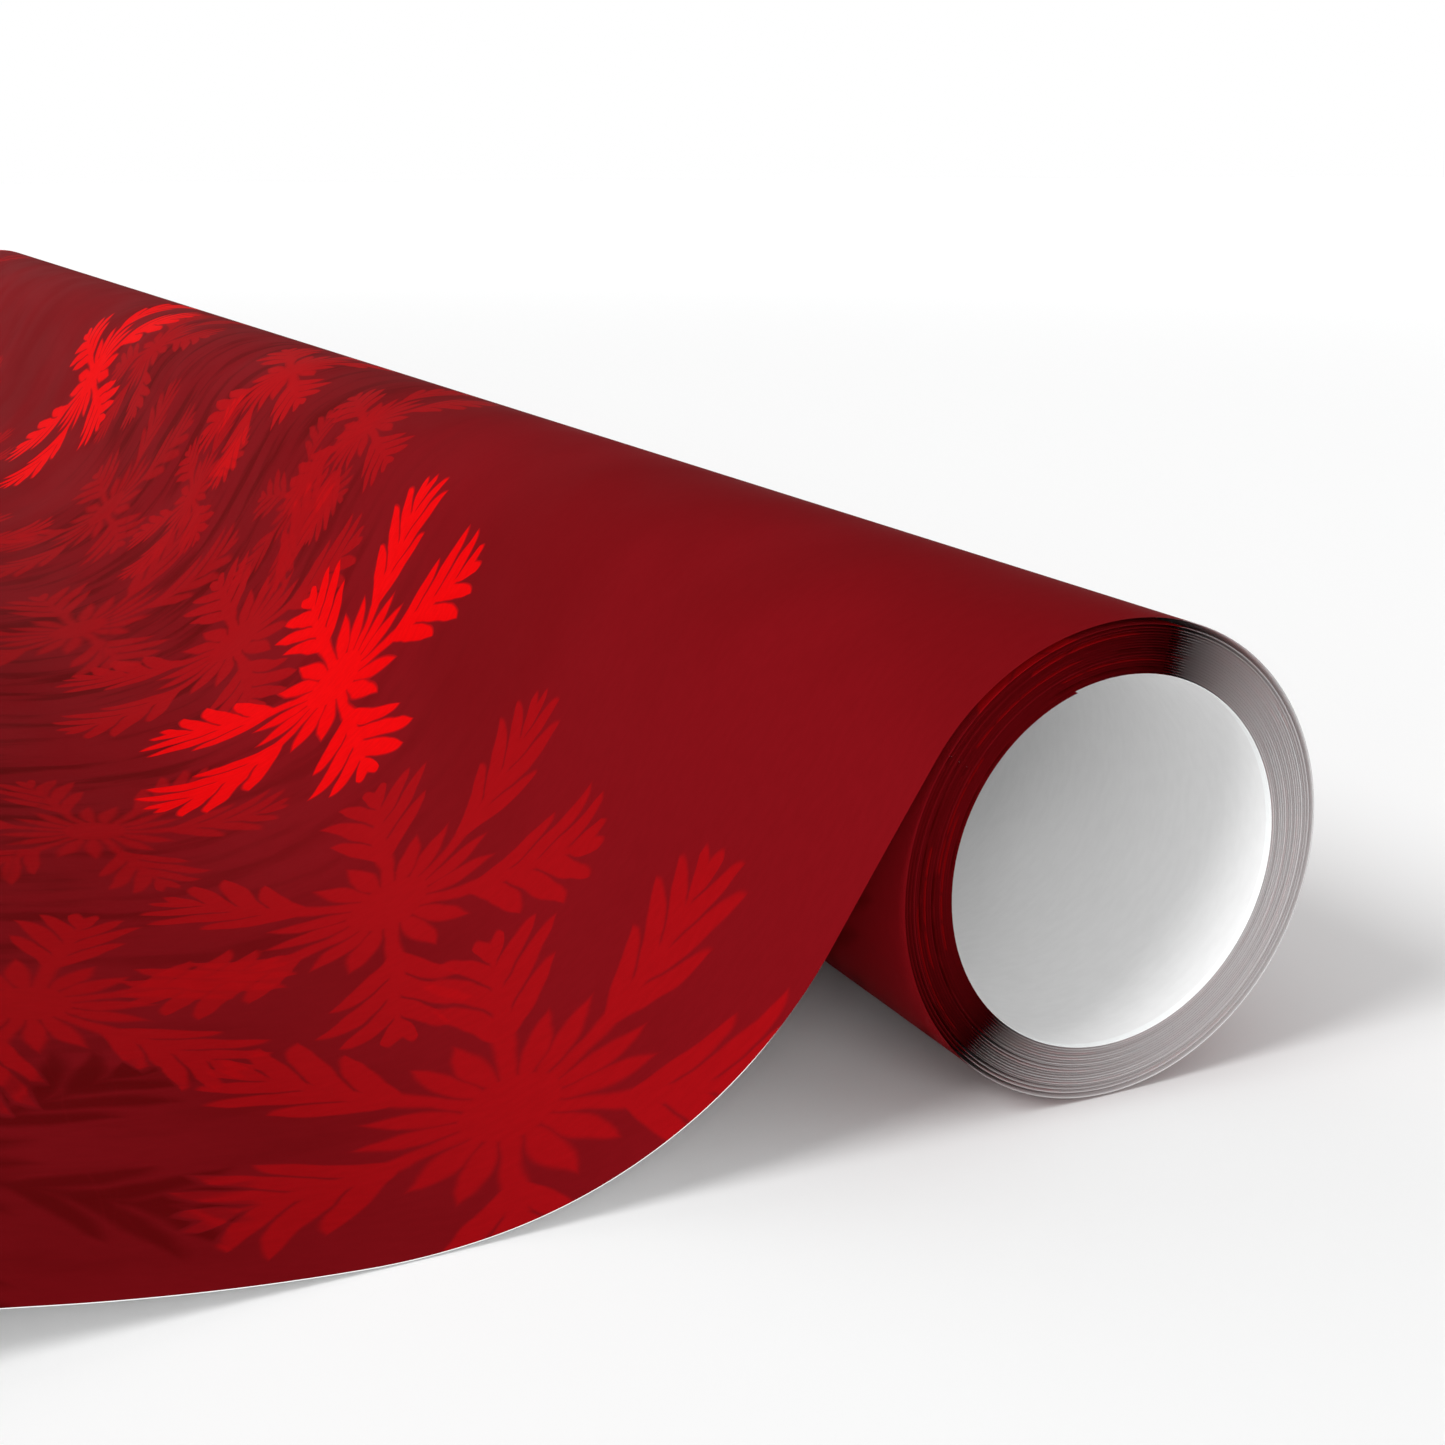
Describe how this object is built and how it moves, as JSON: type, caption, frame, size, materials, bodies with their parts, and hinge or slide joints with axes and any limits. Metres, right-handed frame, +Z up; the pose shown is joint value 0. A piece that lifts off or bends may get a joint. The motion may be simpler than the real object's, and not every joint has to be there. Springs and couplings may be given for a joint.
{
  "type": "wrapping paper roll",
  "caption": "Coreless roll of printed gift wrapping paper lying on its side, with the free end unrolled over the top into a curved, flexible sheet.",
  "frame": {"origin": "bottom centre of the whole object, on the surface it lies on", "axes": "+X along the roll's axis, +Y from the unrolled sheet towards the roll, +Z up"},
  "size_m": [0.762, 0.183, 0.044],
  "materials": {
    "printed_paper": "deep red print with feathery snowflakes, faint satin sheen",
    "paper_back": "plain white uncoated back, matte"
  },
  "bodies": {
    "wrap": {"outer_wrap": "printed_paper"},
    "outer_coil": {"outer_turns": "printed_paper"},
    "middle_coil": {"middle_turns": "printed_paper"},
    "inner_coil": {"inner_turns": "printed_paper"},
    "core_coil": {"core_turns": "paper_back"},
    "ramp": {"sheet_ramp": "printed_paper"},
    "landing": {"sheet_landing": "printed_paper"},
    "rise": {"sheet_rise": "printed_paper"},
    "fall": {"sheet_fall": "printed_paper"},
    "tail": {"sheet_tail": "printed_paper"}
  },
  "joints": [
    {"name": "coil_spin", "type": "hinge", "parent": "wrap", "child": "outer_coil", "pos_m": [0, 0.06946, 0.022], "axis": [1, 0, 0], "continuous": true},
    {"name": "middle_telescope", "type": "slide", "parent": "outer_coil", "child": "middle_coil", "axis": [1, 0, 0], "range_m": [-0.04, 0.04]},
    {"name": "inner_telescope", "type": "slide", "parent": "middle_coil", "child": "inner_coil", "axis": [1, 0, 0], "range_m": [-0.04, 0.04]},
    {"name": "core_telescope", "type": "slide", "parent": "inner_coil", "child": "core_coil", "axis": [1, 0, 0], "range_m": [-0.04, 0.04]},
    {"name": "takeoff_flex", "type": "hinge", "parent": "wrap", "child": "ramp", "pos_m": [0, 0.04708, 0.02732], "axis": [-1, 0, 0], "range_deg": [-12, 45], "stiffness_Nm_per_rad": 0.06},
    {"name": "landing_flex", "type": "hinge", "parent": "ramp", "child": "landing", "pos_m": [0, 0.02948, 0.00678], "axis": [-1, 0, 0], "range_deg": [-30, 35], "stiffness_Nm_per_rad": 0.05},
    {"name": "rise_flex", "type": "hinge", "parent": "landing", "child": "rise", "pos_m": [0, -0.02163, 0.00371], "axis": [-1, 0, 0], "range_deg": [-25, 30], "stiffness_Nm_per_rad": 0.03},
    {"name": "crest_flex", "type": "hinge", "parent": "rise", "child": "fall", "pos_m": [0, -0.04978, 0.00656], "axis": [-1, 0, 0], "range_deg": [-25, 30], "stiffness_Nm_per_rad": 0.02},
    {"name": "tail_flex", "type": "hinge", "parent": "fall", "child": "tail", "pos_m": [0, -0.07082, 0.00497], "axis": [-1, 0, 0], "range_deg": [-30, 45], "stiffness_Nm_per_rad": 0.01}
  ],
  "couplings": [
    {"joint": "inner_telescope", "follows": "middle_telescope", "ratio": 1},
    {"joint": "core_telescope", "follows": "middle_telescope", "ratio": 1}
  ]
}
